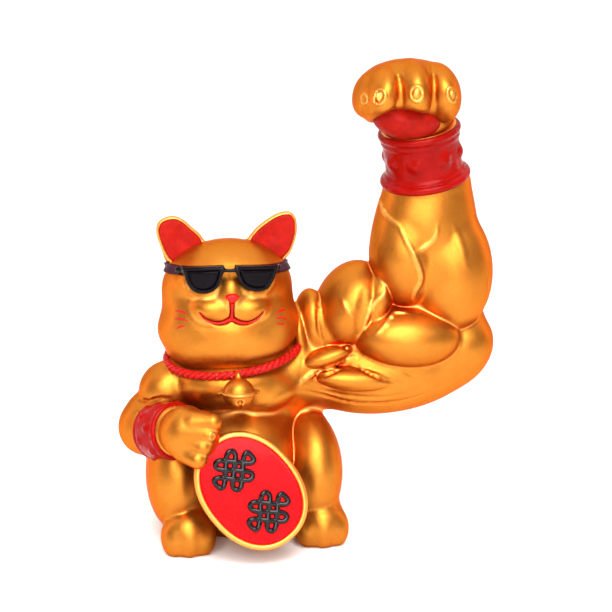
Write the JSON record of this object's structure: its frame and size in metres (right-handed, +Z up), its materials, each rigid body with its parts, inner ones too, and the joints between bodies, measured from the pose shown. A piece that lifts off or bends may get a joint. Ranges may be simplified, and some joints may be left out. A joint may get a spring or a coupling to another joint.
{
  "type": "beckoning cat figurine",
  "caption": "Seated gold beckoning cat figurine in dark glasses, holding an oval coin and flexing one oversized muscular arm with a studded wrist cuff.",
  "frame": {"origin": "on the flat underside, below the middle of the seated body", "axes": "+Z up through the body, the cat faces -Y, the flexed arm is on the +X side"},
  "size_m": [0.1495, 0.0886, 0.1924],
  "materials": {
    "gold_body": "satin gold paint on cast resin",
    "gold_head": "satin gold paint on cast resin",
    "gold_arm": "satin gold paint on cast resin",
    "gold_paw": "satin gold paint on cast resin",
    "gold_low_arm": "satin gold paint on cast resin",
    "gold_low_paw": "satin gold paint on cast resin",
    "gold_bell": "satin gold paint on cast resin",
    "gold_coin": "satin gold paint on cast resin",
    "cuff_red": "thick glossy red paint",
    "low_cuff_red": "thick glossy red paint",
    "collar_crimson": "crimson paint on a cast cord",
    "glasses_black": "gloss black",
    "lens_black": "gloss black, opaque",
    "strap_plum": "satin dark plum paint",
    "ear_red": "dull red paint",
    "face_red": "red paint",
    "palm_red": "red paint",
    "coin_enamel": "bright red enamel",
    "relief_black": "raised gloss black paint",
    "pin_steel": "plain steel pin",
    "ballast_iron": "rough iron slug",
    "stopper_rubber": "soft translucent stopper"
  },
  "bodies": {
    "figure": {"torso_casting": "gold_body", "head_casting": "gold_head", "raised_arm_casting": "gold_arm", "raised_paw": "gold_paw", "lowered_arm_casting": "gold_low_arm", "lowered_paw": "gold_low_paw", "bell": "gold_bell", "koban_plate": "gold_coin", "raised_cuff": "cuff_red", "lowered_cuff": "low_cuff_red", "collar_cord": "collar_crimson", "sunglasses_frame": "glasses_black", "lens_left": "lens_black", "lens_right": "lens_black", "temple_left": "strap_plum", "temple_right": "strap_plum", "ear_inlay_left": "ear_red", "ear_inlay_right": "ear_red", "nose": "face_red", "mouth_line": "face_red", "palm_pad": "palm_red", "koban_face": "coin_enamel", "koban_knot_upper": "relief_black", "koban_knot_lower": "relief_black", "shoulder_dowel": "pin_steel", "ballast_slug": "ballast_iron"},
    "stopper": {"base_stopper": "stopper_rubber"}
  },
  "joints": [
    {"name": "stopper_pull", "type": "slide", "parent": "figure", "child": "stopper", "axis": [0, 0, -1], "range_m": [0, 0.012]}
  ]
}
